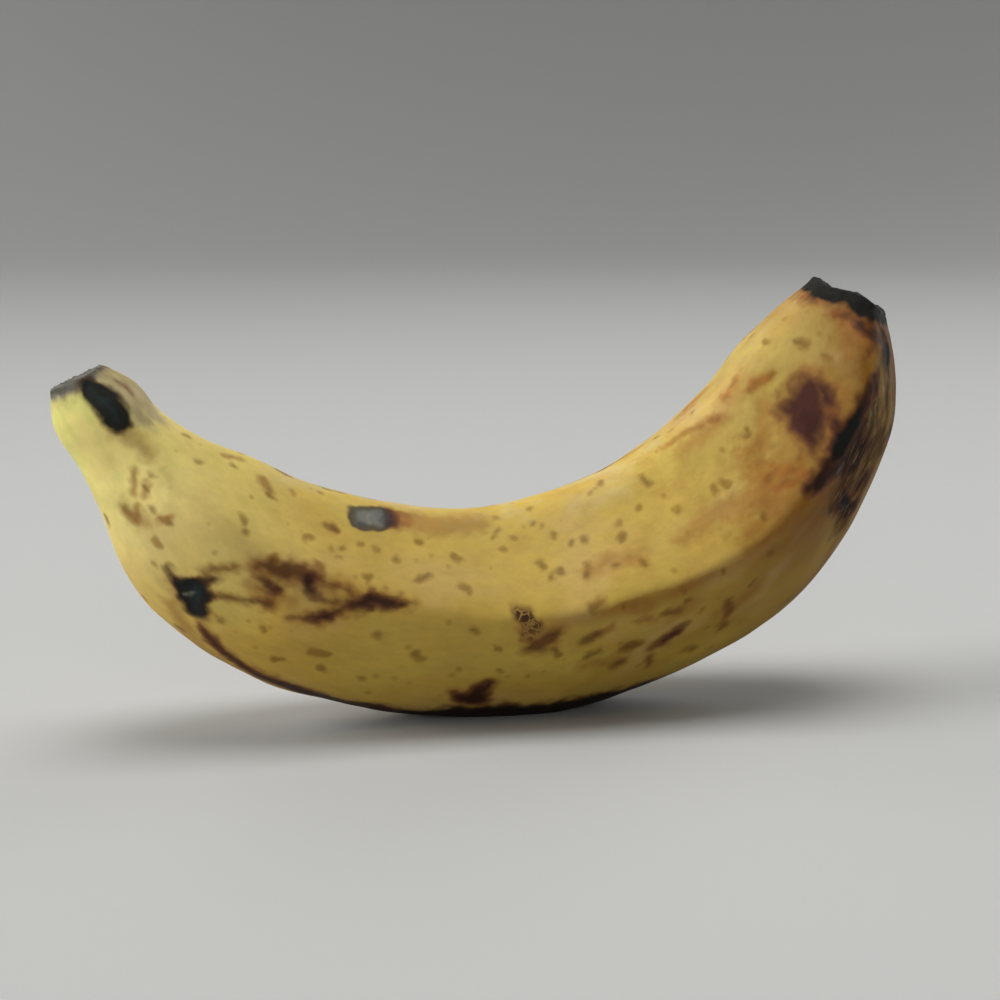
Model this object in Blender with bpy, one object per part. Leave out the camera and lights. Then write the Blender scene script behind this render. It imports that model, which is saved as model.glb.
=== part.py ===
# A banana, standing on the ridge of its outer curve with the stem and the tip both pointing up.
# One grown piece: the peel's five sided body, the stub of its stem with a dry cut face, and the
# dried flower scar at the tip. The middle line runs along +X from the stem to the tip and bends
# upwards in the XZ plane. The origin is on the ground, under the middle of the fruit's box.

import bpy
import math
import numpy as np

# The middle line: its length, and its slope in degrees at equal steps from the stem to the tip
LENGTH = 0.185
SLOPE_DEG = (-57, -52, -36, -16, -6, 12, 24, 46, 64, 72)
LEAN_DEG = 3.5

# The girth: how far the sides stand from the middle line, at shares of the length
GIRTH = (
    (0.0, 0.0049), (0.025, 0.0073), (0.06, 0.0078), (0.11, 0.0103), (0.17, 0.0145),
    (0.25, 0.0165), (0.35, 0.0174), (0.45, 0.0177), (0.55, 0.0188), (0.65, 0.0189),
    (0.75, 0.0191), (0.85, 0.0172), (0.92, 0.0149), (0.97, 0.0106), (1.0, 0.0071),
)

# The section: which way each of the five sides faces, in degrees from the outer curve towards
# the viewer at -Y, and its distance from the middle line as a share of the girth. A sixth,
# further out, blunts the ridge of the outer curve.
SIDES = ((55, 1.0), (137, 1.0), (198, 1.0), (257, 1.0), (317, 1.0), (6, 1.14))
SIDEWAYS = 0.92

# How far the sides turn, and how crisp the ridges between them are, from the stem to the tip
TURN_DEG = (7, 3, 2, -5, -14)
CRISPNESS = (5, 6, 9, 10, 7)

# The two ends: how far each leans off square, and over what length that fades out
STEM_SLANT = -0.15
STEM_SLANT_FADE = 0.025
TIP_SLANT = -0.11
TIP_SLANT_FADE = 0.020
SLANT_EASE = 1.5

# The dry faces of the two ends as rings: share of the end ring's size, and height above it
STEM_FACE = ((0.86, 0.0001), (0.70, -0.0005), (0.35, -0.0003))
TIP_FACE = ((0.84, 0.0004), (0.62, -0.0006), (0.32, -0.0012))

# The scar's uneven rim: how far it stands up, and the bumps round it, turned towards the viewer
TIP_RIM_HEIGHT = 0.0005
TIP_BUMPS = 3
TIP_BUMP_HEIGHT = 0.0009
TIP_BUMP_TURN_DEG = 100
TIP_SCAR_LENGTH = 0.0025

# How much of the belly is pressed flat where the fruit rests
REST_DEPTH = 0.0012

# How fine the solid is: rings along it, closer at the ends, and points round each; the steps in
# which the middle line is followed; and the angle past which an edge shows as a crease
RINGS = 64
AROUND = 48
FIRST_POINT_DEG = 6
END_CROWDING = 0.5
LINE_STEPS = 2000
SHARP_EDGE_DEG = 50

PEEL_YELLOW = (0.52, 0.37, 0.09, 1)
DRY_STEM_GREY = (0.22, 0.20, 0.15, 1)
SCAR_BLACK = (0.016, 0.014, 0.012, 1)


def clear_scene():
    for thing in list(bpy.data.objects):
        bpy.data.objects.remove(thing)


def curve_through(places, values, at):
    """A smooth curve through the values given at the places, read at other places. Between two
    of them it is a cubic that leaves each with the slope of its neighbours."""
    places = np.asarray(places, float)
    values = np.asarray(values, float)
    slopes = np.gradient(values, places)
    at = np.clip(at, places[0], places[-1])
    left = np.clip(np.searchsorted(places, at, side="right") - 1, 0, len(places) - 2)
    step = places[left + 1] - places[left]
    u = (at - places[left]) / step
    from_values = (2 * u**3 - 3 * u**2 + 1) * values[left] + (3 * u**2 - 2 * u**3) * values[left + 1]
    from_slopes = (u**3 - 2 * u**2 + u) * slopes[left] + (u**3 - u**2) * slopes[left + 1]
    return from_values + from_slopes * step


def evenly(values):
    """Values spread at equal shares of the length, from 0 at the stem to 1 at the tip."""
    return np.linspace(0, 1, len(values)), values


def middle_line(share):
    """X, Z and slope of the middle line at shares of its length: the slope is followed in small
    steps, each one moving along its cosine and up by its sine."""
    fine = np.linspace(0, 1, LINE_STEPS + 1)
    slope = np.radians(curve_through(*evenly(SLOPE_DEG), fine))
    step = LENGTH / LINE_STEPS
    x = np.concatenate([[0], np.cumsum((np.cos(slope[1:]) + np.cos(slope[:-1])) / 2 * step)])
    z = np.concatenate([[0], np.cumsum((np.sin(slope[1:]) + np.sin(slope[:-1])) / 2 * step)])
    return np.interp(share, fine, x), np.interp(share, fine, z), np.interp(share, fine, slope)


def section_reach(angle, turn, crispness):
    """How far the skin is from the middle line at each angle, as a share of the girth. Each side
    counts by the cosine of its angle over its distance, raised to the crispness: a high power
    gives flat sides with narrow ridges, and 2 would give nearly a circle."""
    total = np.zeros_like(angle)
    for side, distance in SIDES:
        facing = np.clip(np.cos(angle - turn - math.radians(side)), 0, None)
        total += (facing / distance) ** crispness
    return total ** (-1 / crispness)


def slant_along(share):
    """How far a section leans along the fruit for each metre outwards, near the two cut ends."""
    from_stem = share * LENGTH
    from_tip = (1 - share) * LENGTH
    at_stem = STEM_SLANT * np.clip(1 - from_stem / STEM_SLANT_FADE, 0, None) ** SLANT_EASE
    at_tip = TIP_SLANT * np.clip(1 - from_tip / TIP_SLANT_FADE, 0, None) ** SLANT_EASE
    return at_stem + at_tip


def skin_point(share, angle, size=1.0, height=0.0):
    """Points of the skin for arrays of shares and angles: outwards in the section by its reach,
    with the outer curve at angle 0 and the viewer's side at a quarter turn. A size below one
    stays inside the ring, and a height stands off it along the middle line."""
    x, z, slope = middle_line(share)
    turn = np.radians(curve_through(*evenly(TURN_DEG), share))
    crispness = curve_through(*evenly(CRISPNESS), share)
    girth = curve_through(*zip(*GIRTH), share)
    reach = section_reach(angle, turn, crispness) * girth * size
    outward = reach * np.cos(angle)
    along = slant_along(share) * outward + height
    return np.stack([
        x + outward * np.sin(slope) + along * np.cos(slope),
        -reach * np.sin(angle) * SIDEWAYS,
        z - outward * np.cos(slope) + along * np.sin(slope),
    ], axis=-1)


def ring_shares():
    """Shares of the length at which the rings stand, closer together near the two ends."""
    u = np.linspace(0, 1, RINGS)
    return u - END_CROWDING * np.sin(2 * math.pi * u) / (2 * math.pi)


def angles_at(share):
    """The angles of a ring's points, turned with the sides, so that points follow the ridges."""
    turn = curve_through(*evenly(TURN_DEG), share)
    first = np.radians(FIRST_POINT_DEG + turn)
    return first + np.arange(AROUND) * 2 * math.pi / AROUND


def scar_rise(share, angle):
    """How far the dried flower scar's rim stands up: three bumps that fade in over its length."""
    fade = np.clip(1 - (1 - share) * LENGTH / TIP_SCAR_LENGTH, 0, None)
    wave = np.cos(TIP_BUMPS * (angle - math.radians(TIP_BUMP_TURN_DEG)))
    return fade * (TIP_RIM_HEIGHT + TIP_BUMP_HEIGHT * wave)


def ring(share, size=1.0, height=0.0):
    angle = angles_at(share)
    rise = height + scar_rise(share, angle) * size
    return skin_point(np.full(AROUND, share), angle, size, rise)


def all_rings():
    """Every ring from the middle of the stem's cut face, along the body, to the tip's middle."""
    stem = [ring(0.0, size, -height) for size, height in reversed(STEM_FACE)]
    body = [ring(share) for share in ring_shares()]
    tip = [ring(1.0, size, height) for size, height in TIP_FACE]
    return stem + body + tip


def set_down(points):
    """Lean the fruit's plane towards the viewer until its weight is over the belly ridge, press
    the lowest part flat on the ground, and put the box's middle over the origin."""
    lean = math.radians(LEAN_DEG)
    y = points[:, 1] * math.cos(lean) - points[:, 2] * math.sin(lean)
    z = points[:, 1] * math.sin(lean) + points[:, 2] * math.cos(lean)
    x = points[:, 0] - (points[:, 0].min() + points[:, 0].max()) / 2
    y = y - (y.min() + y.max()) / 2
    z = np.maximum(z - z.min() - REST_DEPTH, 0)
    return np.stack([x, y, z], axis=-1)


def skin_faces(ring_count):
    """Two triangles for each patch between neighbouring rings, and a fan on each end ring."""
    i, j = np.meshgrid(np.arange(ring_count - 1), np.arange(AROUND), indexing="ij")
    k = (j + 1) % AROUND
    a, b, c, d = i * AROUND + j, (i + 1) * AROUND + j, (i + 1) * AROUND + k, i * AROUND + k
    patches = np.stack([np.stack([a, b, c], -1), np.stack([a, c, d], -1)]).reshape(-1, 3)
    j = np.arange(AROUND)
    k = (j + 1) % AROUND
    last = (ring_count - 1) * AROUND
    stem_middle = ring_count * AROUND
    tip_middle = stem_middle + 1
    stem_fan = np.stack([np.full(AROUND, stem_middle), j, k], -1)
    tip_fan = np.stack([np.full(AROUND, tip_middle), last + k, last + j], -1)
    return np.concatenate([patches, stem_fan, tip_fan])


def finish(name, colour, roughness):
    material = bpy.data.materials.new(name)
    material.use_nodes = True
    shader = material.node_tree.nodes["Principled BSDF"]
    shader.inputs["Base Color"].default_value = colour
    shader.inputs["Roughness"].default_value = roughness
    shader.inputs["Metallic"].default_value = 0.0
    return material


def make_banana():
    rings = all_rings()
    middles = [rings[0].mean(axis=0), rings[-1].mean(axis=0)]
    points = set_down(np.concatenate(rings + [np.array(middles)]))
    faces = skin_faces(len(rings))
    mesh = bpy.data.meshes.new("banana")
    mesh.from_pydata(points.tolist(), [], faces.tolist())
    mesh.update()

    peel = finish("waxy banana peel", PEEL_YELLOW, 0.42)
    stem = finish("dry cut stem", DRY_STEM_GREY, 0.80)
    scar = finish("dried flower scar", SCAR_BLACK, 0.70)
    for material in (peel, stem, scar):
        mesh.materials.append(material)
    ring_of_face = faces.min(axis=1) // AROUND
    stem_face = ring_of_face < len(STEM_FACE)
    body_share = np.concatenate([np.zeros(len(STEM_FACE)), ring_shares(), np.ones(len(TIP_FACE))])
    first_of_scar = int(np.argmax(body_share > 1 - TIP_SCAR_LENGTH / LENGTH))
    slot = np.where(ring_of_face >= first_of_scar, 2, 0)
    slot[stem_face] = 1
    mesh.polygons.foreach_set("material_index", slot.astype(np.int32))
    mesh.shade_smooth()
    mesh.set_sharp_from_angle(angle=math.radians(SHARP_EDGE_DEG))

    banana = bpy.data.objects.new("banana", mesh)
    fruit = bpy.data.collections.new("banana")
    bpy.context.scene.collection.children.link(fruit)
    fruit.objects.link(banana)


clear_scene()
make_banana()
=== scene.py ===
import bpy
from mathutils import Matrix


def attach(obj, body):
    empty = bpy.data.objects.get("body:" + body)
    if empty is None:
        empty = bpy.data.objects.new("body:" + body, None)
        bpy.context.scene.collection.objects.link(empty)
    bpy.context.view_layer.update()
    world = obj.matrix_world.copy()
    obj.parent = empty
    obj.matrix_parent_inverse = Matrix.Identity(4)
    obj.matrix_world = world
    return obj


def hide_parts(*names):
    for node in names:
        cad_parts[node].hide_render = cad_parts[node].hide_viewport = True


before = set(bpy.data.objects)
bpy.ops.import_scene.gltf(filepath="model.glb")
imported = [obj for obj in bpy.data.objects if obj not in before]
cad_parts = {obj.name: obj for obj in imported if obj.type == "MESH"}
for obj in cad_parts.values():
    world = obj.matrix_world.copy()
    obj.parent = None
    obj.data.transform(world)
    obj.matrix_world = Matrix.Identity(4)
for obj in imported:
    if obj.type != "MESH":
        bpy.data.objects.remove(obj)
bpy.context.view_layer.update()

import math

import bpy
import numpy as np
from mathutils import Matrix

# The fruit's form: one grown piece, peel over soft flesh, bent upwards as it grew towards the
# light. It is a loft of five sided sections with soft ridges, carried along a curved middle line
# from the stem to the tip, with the same measures in millimetres as the solid it stands for.

# The middle line's length and its slope at equal steps, the lean, and the girth at shares of it
LENGTH = 185.0
SLOPE_DEG = (-57, -52, -36, -16, -6, 12, 24, 46, 64, 72)
LEAN_DEG = 3.5
GIRTH = (
    (0.0, 4.9), (0.025, 7.3), (0.06, 7.8), (0.11, 10.3), (0.17, 14.5),
    (0.25, 16.5), (0.35, 17.4), (0.45, 17.7), (0.55, 18.8), (0.65, 18.9),
    (0.75, 19.1), (0.85, 17.2), (0.92, 14.9), (0.97, 10.6), (1.0, 7.1),
)
# Which way each side faces, in degrees from the outer curve towards the viewer, and its distance
# from the middle line as a share of the girth. The last, further out, blunts the outer ridge.
SIDES = ((55, 1.0), (137, 1.0), (198, 1.0), (257, 1.0), (317, 1.0), (6, 1.14))
# How deep a section is for its height, and how far the sides turn and how crisp the ridges
# between them are, from the stem to the tip
SIDEWAYS = 0.92
TURN_DEG = (7, 3, 2, -5, -14)
CRISPNESS = (5, 6, 9, 10, 7)
# How far the sections near the two ends lean, and over what length that fades out
STEM_SLANT, STEM_SLANT_FADE = -0.15, 25.0
TIP_SLANT, TIP_SLANT_FADE = -0.11, 20.0
SLANT_EASE = 1.5
# How much further the stem goes on the viewer's side, and how deep the belly is pressed flat
STEM_RAISE, STEM_RAISE_FADE = 0.7, 9.0
REST_DEPTH = 1.2
METRES = 0.001

# How fine the surface is: rings along it, points round each, steps of the middle line, and the
# number of waves in a swell, with what keeps their sum near one
RINGS = 424
AROUND = 216
END_CROWDING = 0.35
LINE_STEPS = 2000
SWELL_WAVES, SWELL_DIVISOR = 9, 4


def curve_through(places, values, at):
    """A smooth curve through the values given at the places, read at other places. Between two
    of them it is a cubic that leaves each with the slope of its neighbours."""
    places = np.asarray(places, float)
    values = np.asarray(values, float)
    slopes = np.gradient(values, places)
    at = np.clip(at, places[0], places[-1])
    left = np.clip(np.searchsorted(places, at, side="right") - 1, 0, len(places) - 2)
    step = places[left + 1] - places[left]
    u = (at - places[left]) / step
    from_values = (2 * u**3 - 3 * u**2 + 1) * values[left] + (3 * u**2 - 2 * u**3) * values[left + 1]
    from_slopes = (u**3 - 2 * u**2 + u) * slopes[left] + (u**3 - u**2) * slopes[left + 1]
    return from_values + from_slopes * step


def along_fruit(values, share):
    """Values spread evenly from the stem to the tip, read at shares of the length."""
    return curve_through(np.linspace(0, 1, len(values)), values, share)


def middle_line(share):
    """X, Z and slope of the middle line at shares of its length: the slope is followed in small
    steps, each one moving along its cosine and up by its sine."""
    fine = np.linspace(0, 1, LINE_STEPS + 1)
    slope = np.radians(along_fruit(SLOPE_DEG, fine))
    step = LENGTH / LINE_STEPS
    x = np.concatenate([[0], np.cumsum((np.cos(slope[1:]) + np.cos(slope[:-1])) / 2 * step)])
    z = np.concatenate([[0], np.cumsum((np.sin(slope[1:]) + np.sin(slope[:-1])) / 2 * step)])
    return np.interp(share, fine, x), np.interp(share, fine, z), np.interp(share, fine, slope)


def reach_at(share, angle):
    """How far the skin is from the middle line. Each side counts by the cosine of its angle over
    its distance, raised to the crispness: a high power gives flat sides with narrow ridges."""
    turn = np.radians(along_fruit(TURN_DEG, share))
    crispness = along_fruit(CRISPNESS, share)
    total = 0
    for side, distance in SIDES:
        facing = np.clip(np.cos(angle - turn - math.radians(side)), 0, None)
        total = total + (facing / distance) ** crispness
    return total ** (-1 / crispness) * curve_through(*zip(*GIRTH), share)


def skin_point(share, angle, reach, height):
    """Points of the skin: outwards in the section by the reach, with the outer curve at angle 0
    and the viewer's side at a quarter turn, and off the section by the height. Near its two cut
    ends the section leans, by a slant that fades out along the fruit."""
    x, z, slope = middle_line(share)
    outward = reach * np.cos(angle)
    from_stem, from_tip = share * LENGTH, (1 - share) * LENGTH
    slant = STEM_SLANT * np.clip(1 - from_stem / STEM_SLANT_FADE, 0, None) ** SLANT_EASE
    slant = slant + TIP_SLANT * np.clip(1 - from_tip / TIP_SLANT_FADE, 0, None) ** SLANT_EASE
    raised = STEM_RAISE * (1 + np.sin(angle)) * np.clip(1 - from_stem / STEM_RAISE_FADE, 0, None) ** 2
    along = slant * outward + height - raised
    return np.stack([
        x + outward * np.sin(slope) + along * np.cos(slope),
        -reach * np.sin(angle) * SIDEWAYS,
        z - outward * np.cos(slope) + along * np.sin(slope),
    ], axis=-1)


def lean(points):
    """The fruit leans a little towards the viewer, until its weight is over the belly's ridge."""
    c, s = math.cos(math.radians(LEAN_DEG)), math.sin(math.radians(LEAN_DEG))
    return points @ np.array([[1, 0, 0], [0, c, s], [0, -s, c]])


def swell(points, size, seed):
    """Smooth unevenness between about -1 and 1, with lumps of roughly the given size in mm: the
    sum of a few sine waves that run in seeded directions."""
    draw = np.random.default_rng(seed)
    total = 0
    for wave in range(SWELL_WAVES):
        direction = draw.normal(size=3)
        direction *= 2 * math.pi / (size * draw.uniform(0.8, 1.6) * np.linalg.norm(direction))
        total = total + np.sin(points @ direction + draw.uniform(0, 2 * math.pi))
    return total / SWELL_DIVISOR


# The marks on the peel: bruises, scars, stains and freckles of a fruit that has lain and ripened,
# with painted light, a painted contact shadow and painted highlights among them.
# Each mark is a chain of round spots: mm along the fruit from the stem, degrees round it from
# the outer curve towards the viewer's side, and the spot's half width in mm.

# Dry tan skin on the upper side of the neck, and below it painted light, which lightens the
# neck's front where its hollow falls into shade
TAN_ZONES = (
    ((0.5, 140, 1.0), (2.2, 145, 1.7), (4.2, 145, 2.0), (7, 147, 2.0), (10.2, 152, 1.5), (13, 156, 0.8)),
    ((0.3, 122, 1.0), (2.6, 126, 1.8), (5.6, 127, 2.0), (9, 126, 1.8), (11, 132, 1.0)),
    ((0.4, 160, 1.2), (4, 164, 1.8), (8, 165, 1.6)),
)
NECK_PAINTED_LIGHT = (
    ((7, 84, 1.5), (11, 86, 2.6), (16, 82, 3.2), (20, 78, 2.2)),
    ((6, 58, 1.4), (10, 52, 2.2), (15, 44, 2.0)),
)

# Soft brown stains, and rusty streaks and scuffs
STAINS = (
    ((9.2, 93, 0.5), (10.8, 99, 0.7), (11.5, 106, 0.5)),
    ((12.4, 104, 0.8), (14.5, 104, 0.8)),
    ((20.5, 48, 0.8), (22.5, 54, 0.8), (24, 62, 0.5)),
    ((34, 44, 0.6), (37.5, 42, 0.8), (40, 48, 0.6)),
    ((40, 94, 0.8), (44, 98, 1.0), (47, 101, 1.1), (51, 102, 1.2)),
    ((42, 84, 0.8), (46, 83, 0.9), (49, 88, 0.6)),
    ((51, 104, 0.5), (57, 104, 0.5), (62, 102, 0.6)),
    ((67, 158, 1.6), (72, 157, 1.9), (78, 158, 1.9), (85, 160, 1.5)),
    ((181, 120, 0.9), (180.8, 104, 1.3), (181, 90, 1.3), (179, 78, 1.0)),
    ((181.6, 172, 0.8), (181.4, 150, 0.8)),
    ((161, 148, 0.9), (163, 147, 1.0), (166, 141, 0.7)),
    ((160, 136, 1.2), (156, 128, 1.3), (152, 120, 1.2)),
    ((153, 109, 1.4), (151, 106, 2.0), (149, 102, 1.6)),
    ((149, 116, 1.3), (145, 106, 1.6), (143.5, 99, 1.6)),
    ((168, 116, 3.2), (162, 116, 4.2), (157, 104, 4.0)),
    ((169, 98, 1.6), (164, 95, 2.2), (158, 94, 2.4)),
    ((181.6, 126, 0.8), (180.8, 108, 1.6), (180, 94, 2.2), (178.6, 78, 2.0)),
    ((182, 170, 0.9), (181.8, 150, 1.0)),
    ((111, 92, 0.7), (114, 90, 0.9)),
    ((118, 79, 1.0), (122, 82, 1.0)),
    ((105, 114, 0.5), (110, 117, 0.7), (116, 112, 0.8)),
    ((125, 112, 1.0), (133, 114, 1.6), (140, 108, 1.8), (146, 104, 1.4)),
    ((127, 62, 0.9), (134, 66, 0.8)),
    ((102, 62, 0.8), (108, 60, 0.8)),
    ((138, 154, 0.6), (147, 152, 0.9), (152, 150, 0.8)),
    ((156, 158, 0.6), (161, 157, 0.8)),
    ((36, 34, 1.0), (42, 18, 1.4), (50, 9, 1.6), (60, 6, 1.5), (70, 8, 1.0)),
)
RUST = (
    ((16, 82, 0.4), (17.6, 74, 0.45), (19, 68, 0.4)),
    ((18.6, 85, 0.2), (19.2, 82, 0.25), (20.2, 76, 0.25)),
    ((20.5, 46, 0.6), (21.6, 50, 0.7)),
    ((21.2, 64, 0.4), (22, 57, 0.5), (22.8, 52, 0.5)),
    ((24.8, 74, 0.6), (25.4, 83, 0.4)),
    ((26, 158, 0.4), (29, 163, 0.5)),
    ((34.5, 151, 0.7), (36.5, 146, 0.8)),
    ((53, 137, 0.8), (52, 140, 0.6)),
    ((68.6, 162, 1.2), (69.6, 156, 0.8)),
    ((181.6, 122, 0.6), (180.9, 108, 1.2), (180.4, 96, 1.6), (179.6, 84, 1.4)),
    ((182, 174, 0.3), (181.8, 158, 0.6), (181.8, 145, 0.5)),
    ((161, 148, 0.5), (163, 147, 0.8), (166, 141, 0.5)),
    ((146.2, 108, 0.4), (149.5, 107, 0.6), (151.4, 101, 0.6), (152.2, 94, 0.4)),
    ((146.4, 102, 0.5), (149, 98, 0.7)),
    ((159, 104, 0.9), (157.5, 101, 0.8)),
    ((135, 163, 0.35), (142.8, 161, 0.45), (148, 158, 0.5)),
    ((149.4, 157, 0.6), (151, 154, 0.9)),
    ((156.5, 160, 0.4), (161, 161, 0.6)),
    ((111.5, 85, 0.3), (113.2, 84, 0.35), (115, 80, 0.35)),
    ((104.6, 84, 0.7), (106.4, 86, 0.7)),
    ((127.6, 58, 0.45), (126.4, 52, 0.45)),
    ((90.5, 96, 1.0), (92, 92, 1.3), (93, 93, 1.0)),
)

# Soft edged brown bruises under the skin, and small brown marks low on the tip's half
CLOUDS = (
    ((40.6, 38, 0.3), (42, 34, 0.6), (44, 30, 0.8), (48, 26, 1.0), (54, 25, 1.3), (60, 22, 1.5)),
    ((41, 96, 0.8), (43.4, 99, 1.2), (46, 102, 1.6), (49, 104, 1.4), (52, 105, 0.6)),
    ((42.3, 90, 0.7), (43.6, 91, 1.1), (45.8, 90, 0.9)),
    ((44.6, 79, 0.6), (46, 80, 0.9), (46.4, 84, 0.6)),
    ((35.2, 72, 0.3), (35.8, 79, 0.35), (38, 88, 0.4)),
    ((39.2, 63, 0.3), (40.8, 69, 0.35), (44, 76, 0.4)),
    ((51.5, 104, 0.55), (55.5, 104, 0.4), (59.5, 103, 0.3)),
    ((52.2, 96, 0.25), (54.2, 95, 0.3), (56.5, 96, 0.3), (59, 99, 0.4)),
    ((50.6, 79, 0.4), (53, 83, 0.8), (55.4, 87, 1.2), (58, 94, 1.0)),
    ((58, 94, 0.8), (60, 98, 0.9), (62, 101, 1.2), (65, 102, 1.1), (68, 103, 0.6), (70.5, 104, 0.25)),
    ((66.2, 162, 1.3), (66.8, 154, 1.2)),
    ((92.2, 83, 0.9), (94, 84.5, 1.6), (95.4, 88, 1.6), (96.6, 91, 1.0)),
    ((96.2, 91, 0.35), (97.5, 92.5, 0.15)),
    ((96, 86, 0.35), (96.6, 81, 0.15)),
    ((82, 46, 0.8), (83.5, 42, 1.3), (86, 42, 1.6)),
    ((84.5, 46, 1.1), (86, 53, 0.9), (87.2, 57, 0.4)),
    ((165, 99, 0.8), (163, 95, 1.2), (161.5, 91, 1.2)),
    ((174, 70, 1.2), (169, 79, 1.5), (163, 82, 2.3), (157, 82, 2.2), (151, 87, 1.2)),
    ((176, 88, 0.5), (179, 78, 0.7), (180, 68, 0.9)),
    ((181.6, 108, 0.3), (181.8, 97, 0.8), (181.2, 88, 0.7)),
)
BROWN_MARKS = (
    ((2.8, 144, 0.1), (4.4, 142, 0.35), (5.2, 140, 0.2)),
    ((103.8, 98, 0.55), (105.5, 100, 0.4)),
    ((101.2, 80, 0.4), (102.4, 82, 0.8), (103.8, 84, 0.5)),
    ((108.6, 67, 0.6), (110.4, 67, 1.1), (112, 67.5, 0.6)),
    ((113.6, 57.5, 0.8), (116, 60, 1.6), (118.4, 63.5, 1.4), (120.2, 67.5, 0.6)),
    ((116.8, 82, 0.3), (119.2, 80, 0.4)),
    ((102.2, 69, 0.35), (104.2, 72, 0.45)),
    ((106.8, 53, 0.3), (108.5, 56, 0.35)),
    ((113, 50, 0.4), (113.2, 43, 0.45)),
    ((119.8, 42, 0.45), (121, 40, 0.45)),
    ((128.2, 69, 0.45), (127.8, 59, 0.55)),
    ((126, 49, 0.5), (126, 46, 0.45)),
)

# The purple brown bruise near the tip, and the orange field round it
PURPLE_PATCH = (
    ((167.8, 117, 0.7), (165.8, 114, 1.8), (163.2, 112, 2.8), (161.2, 108, 3.2), (159.6, 104, 2.0)),
    ((161.2, 121, 1.0), (162.4, 115, 1.6)),
    ((167.6, 109, 0.7), (166, 102, 0.8)),
    ((160, 104, 1.2), (158, 100, 1.0)),
)
ORANGE_FIELD = (
    ((150, 124, 1.6), (143.5, 103, 2.4), (142, 95, 2.0)),
    ((136, 98, 1.4), (146, 94, 2.2), (152, 95, 2.0)),
    ((178, 108, 0.4), (176, 98, 0.8), (174.4, 90, 1.0), (173.6, 84, 1.0)),
)

# Dark brown bruises and streaks, and the black, dried out places in them
BRUISES = (
    ((31.2, 54, 0.25), (32.5, 52, 0.5), (34, 52, 0.9), (36, 57, 1.2), (36.2, 67, 1.0), (37, 74, 0.4)),
    ((38, 61, 0.9), (39.2, 62, 0.4)),
    ((50, 102, 1.1), (51, 98, 1.1)),
    ((44.5, 90, 0.4), (46, 90, 0.5)),
    ((54.6, 85, 0.5), (57, 91, 0.4)),
    ((59.5, 97, 0.6), (62, 101, 1.1), (65, 102, 1.0), (68, 103, 0.4)),
    ((65.8, 161, 0.9), (66.2, 155, 0.9)),
    ((90, 101, 1.0), (91, 100, 1.0), (92, 96, 0.6)),
    ((41, 36, 0.1), (43, 32, 0.35), (45, 28, 0.5), (48, 24.5, 0.6), (52, 23, 0.8), (56, 22, 1.1),
     (60, 20, 1.4), (64, 18, 1.8), (68, 18, 2.0), (72, 20, 2.0)),
    ((82.6, 43, 0.8), (84.4, 41, 1.5), (86.4, 42, 1.6)),
    ((85, 44, 1.3), (86, 50, 1.2), (86.9, 54, 0.7)),
    ((163, 94, 0.6), (162, 91, 0.9)),
    ((160, 77, 1.4), (162, 68, 1.3), (159, 60, 1.2)),
    ((158, 80, 1.3), (156, 79, 0.9)),
    ((157, 68, 1.3), (160, 61, 1.5), (163, 55, 1.0)),
    ((155.5, 44, 1.2), (158, 37, 1.0)),
    ((153.5, 62, 1.0), (152.2, 52, 2.0), (152, 40, 2.1), (153.4, 32, 1.3)),
    ((181.6, 112, 0.3), (181.2, 100, 0.9), (180.8, 90, 1.4), (180.6, 78, 1.6), (180, 66, 1.2)),
    ((180.2, 62, 1.8), (178.4, 58, 2.0), (176.4, 52, 1.6), (175, 48, 0.9)),
    ((173, 77, 0.9), (171, 73, 0.6)),
    ((166, 26, 0.6), (165, 22, 0.4)),
    ((171, 80, 0.7), (168, 82, 1.3), (162, 85, 2.1), (156, 86, 1.9), (152.5, 88, 1.4), (150, 91, 0.9)),
    ((165, 76, 1.2), (160, 76, 1.6), (156, 76, 1.2)),
    ((116, 59.5, 0.6), (118.4, 63, 0.5)),
)
BLACK_MARKS = (
    ((1.2, 97, 1.4), (3.8, 100, 1.9), (6.2, 100.5, 2.1), (8.0, 101, 1.3)),
    ((2.2, 110, 1.0), (3.6, 112, 1.0)),
    ((35.8, 48, 1.3), (36.8, 55, 2.3), (38.6, 46, 1.7)),
    ((35, 50, 1.0), (36.4, 60, 1.4)),
    ((168, 83, 0.2), (166, 84, 0.6), (164, 85, 1.0), (161.2, 86, 1.2), (158.5, 86, 1.1), (156.6, 87, 0.5)),
    ((152.8, 54, 0.8), (152.4, 42, 0.9)),
    ((183.2, 74, 0.6), (181.6, 60, 1.1), (180, 50, 1.7), (178.5, 48, 1.7), (177, 50, 0.9)),
)

# The black band along the belly's ridge where the fruit rests on the ground, painted contact
# shadow over some real bruising, and the net of corky lines over an old graze
BELLY_SHADOW_AND_BRUISE = (
    ((66, 14, 0.5), (72, 16, 1.0), (78, 17, 2.6), (84, 19, 4.4), (90, 20, 5.1), (97, 19, 5.1),
     (105, 17, 4.8), (112, 13, 3.8), (119, 9, 2.6), (127, 6, 1.2)),
)
NET_SCAR = (((90, 101, 0.9), (91, 98, 1.3), (91.5, 94, 1.5), (93, 92, 1.2)),)

# The worn area at the tip, where fibres show, and the pale husks left in it
FIBROUS_ZONE = (
    ((177, 64, 1.2), (169, 66, 3.0), (160, 66, 4.4), (153, 62, 3.4)),
    ((172, 44, 1.8), (162, 42, 4.0), (151, 40, 3.2)),
)
HUSKS = (
    ((175, 66, 0.8), (171, 62, 1.6), (167, 50, 1.7)),
    ((178, 44, 1.0), (172, 38, 1.6), (166, 34, 1.4)),
    ((165, 56, 0.6), (160, 56, 0.5), (157, 54, 0.4)),
    ((159, 40, 0.8), (152, 38, 1.2), (147, 40, 0.8)),
)
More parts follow.
